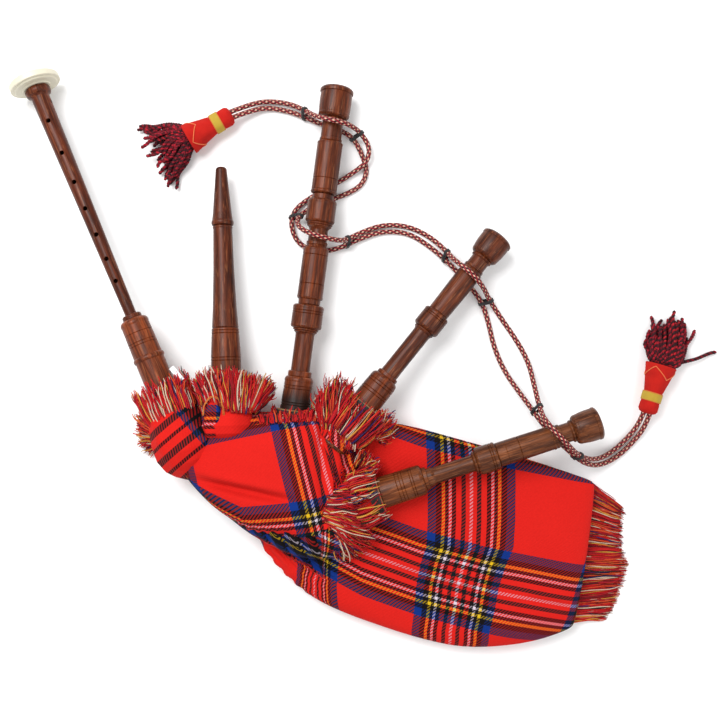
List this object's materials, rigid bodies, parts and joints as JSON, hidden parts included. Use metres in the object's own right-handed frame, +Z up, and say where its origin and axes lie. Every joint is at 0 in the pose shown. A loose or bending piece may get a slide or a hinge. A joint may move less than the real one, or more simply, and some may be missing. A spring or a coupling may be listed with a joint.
{
  "type": "bagpipes",
  "caption": "Mouth-blown bagpipes lying flat: chanter, blowpipe and bell-ended drones in turned wood, tied into a fringed tartan-covered bag, with a tasselled cord.",
  "frame": {"origin": "On the ground under the middle of the set's box, the drone cord and its tassels not counted.", "axes": "+Z up; +X from the chanter's side towards the tail of the bag; +Y from the bag towards the bass drone's bell."},
  "size_m": [0.6819, 0.5633, 0.0788],
  "materials": {
    "ivory": "satin imitation ivory",
    "rosewood": "polished rosewood, satin gloss",
    "hemp": "waxed hemp thread",
    "cane": "natural cane",
    "brass": "bright brass",
    "thread": "waxed binding thread",
    "leather": "soft valve leather",
    "bag_hide": "tanned hide",
    "tartan": null,
    "fringe": "twisted wool yarn fringe in mixed colours",
    "tape": "white cotton tape",
    "cord": "braided silk cord in red, white and black",
    "cord_tie": "black thread",
    "tassel_felt": "red felt",
    "tassel_band": "yellow braid",
    "tassel_yarn": "twisted yarn in red and black"
  },
  "bodies": {
    "bag": {"inner_bag": "bag_hide", "bag_cover": "tartan", "chanter_stock": "rosewood", "blowpipe_stock": "rosewood", "bass_stock": "rosewood", "tenor_1_stock": "rosewood", "tenor_2_stock": "rosewood", "stock_bindings": "hemp", "binding_tail": "tape", "chanter_collar": "fringe", "blowpipe_collar": "fringe", "bass_collar": "fringe", "tenor_1_collar": "fringe", "tenor_2_collar": "fringe", "rear_fringe": "fringe", "cord_strand_a": "cord", "cord_strand_b": "cord", "cord_ties": "cord_tie", "left_tassel_head": "tassel_felt", "left_tassel_band": "tassel_band", "left_tassel_skirt": "tassel_yarn", "right_tassel_head": "tassel_felt", "right_tassel_band": "tassel_band", "right_tassel_skirt": "tassel_yarn"},
    "chanter": {"chanter": "rosewood", "chanter_sole": "ivory", "chanter_hemp": "hemp", "chanter_reed_staple": "brass", "chanter_reed_binding": "thread", "chanter_reed_blades": "cane"},
    "blowpipe": {"blowpipe": "rosewood", "blowpipe_hemp": "hemp", "valve_seat": "brass", "valve_pin": "brass"},
    "mouthpiece": {"mouthpiece": "rosewood", "mouthpiece_hemp": "hemp"},
    "valve_flap": {"valve_flap": "leather"},
    "bass_bottom": {"bass_bottom_joint": "rosewood", "bass_bottom_hemp": "hemp", "bass_reed_body": "cane", "bass_reed_tongue": "cane", "bass_reed_bridle": "thread"},
    "bass_middle": {"bass_middle_joint": "rosewood", "bass_middle_hemp": "hemp"},
    "bass_top": {"bass_top_joint": "rosewood"},
    "tenor_1_bottom": {"tenor_1_bottom_joint": "rosewood", "tenor_1_hemp": "hemp", "tenor_1_reed_body": "cane", "tenor_1_reed_tongue": "cane", "tenor_1_reed_bridle": "thread"},
    "tenor_1_top": {"tenor_1_top_joint": "rosewood"},
    "tenor_2_bottom": {"tenor_2_bottom_joint": "rosewood", "tenor_2_hemp": "hemp", "tenor_2_reed_body": "cane", "tenor_2_reed_tongue": "cane", "tenor_2_reed_bridle": "thread"},
    "tenor_2_top": {"tenor_2_top_joint": "rosewood"}
  },
  "joints": [
    {"name": "chanter_turn", "type": "hinge", "parent": "bag", "child": "chanter", "pos_m": [-0.2777, 0.2707, 0.026], "axis": [0.3913, -0.9195, 0.0384], "continuous": true},
    {"name": "blowpipe_turn", "type": "hinge", "parent": "bag", "child": "blowpipe", "pos_m": [-0.0965, 0.1891, 0.02], "axis": [0.0339, -0.9976, 0.0598], "continuous": true},
    {"name": "mouthpiece_turn", "type": "hinge", "parent": "blowpipe", "child": "mouthpiece", "pos_m": [-0.0965, 0.1891, 0.02], "axis": [0.0339, -0.9976, 0.0598], "continuous": true},
    {"name": "valve_opening", "type": "hinge", "parent": "blowpipe", "child": "valve_flap", "pos_m": [-0.08989, -0.0055, 0.03907], "axis": [-0.9994, -0.0339, 0], "range_deg": [0, 60]},
    {"name": "bass_turn", "type": "hinge", "parent": "bag", "child": "bass_bottom", "pos_m": [0.0175, 0.267, 0.02], "axis": [-0.129, -0.9913, 0.0249], "continuous": true},
    {"name": "bass_middle_tuning", "type": "slide", "parent": "bass_bottom", "child": "bass_middle", "axis": [0.129, 0.9913, -0.0249], "range_m": [0, 0.016]},
    {"name": "bass_top_tuning", "type": "slide", "parent": "bass_middle", "child": "bass_top", "axis": [0.129, 0.9913, -0.0249], "range_m": [0, 0.016]},
    {"name": "tenor_1_turn", "type": "hinge", "parent": "bag", "child": "tenor_1_bottom", "pos_m": [0.1755, 0.1208, 0.022], "axis": [-0.6253, -0.7765, 0.0778], "continuous": true},
    {"name": "tenor_1_tuning", "type": "slide", "parent": "tenor_1_bottom", "child": "tenor_1_top", "axis": [0.6253, 0.7765, -0.0778], "range_m": [0, 0.015]},
    {"name": "tenor_2_turn", "type": "hinge", "parent": "bag", "child": "tenor_2_bottom", "pos_m": [0.2673, -0.0585, 0.052], "axis": [-0.9492, -0.3123, -0.0387], "continuous": true},
    {"name": "tenor_2_tuning", "type": "slide", "parent": "tenor_2_bottom", "child": "tenor_2_top", "axis": [0.9492, 0.3123, 0.0387], "range_m": [0, 0.015]}
  ]
}
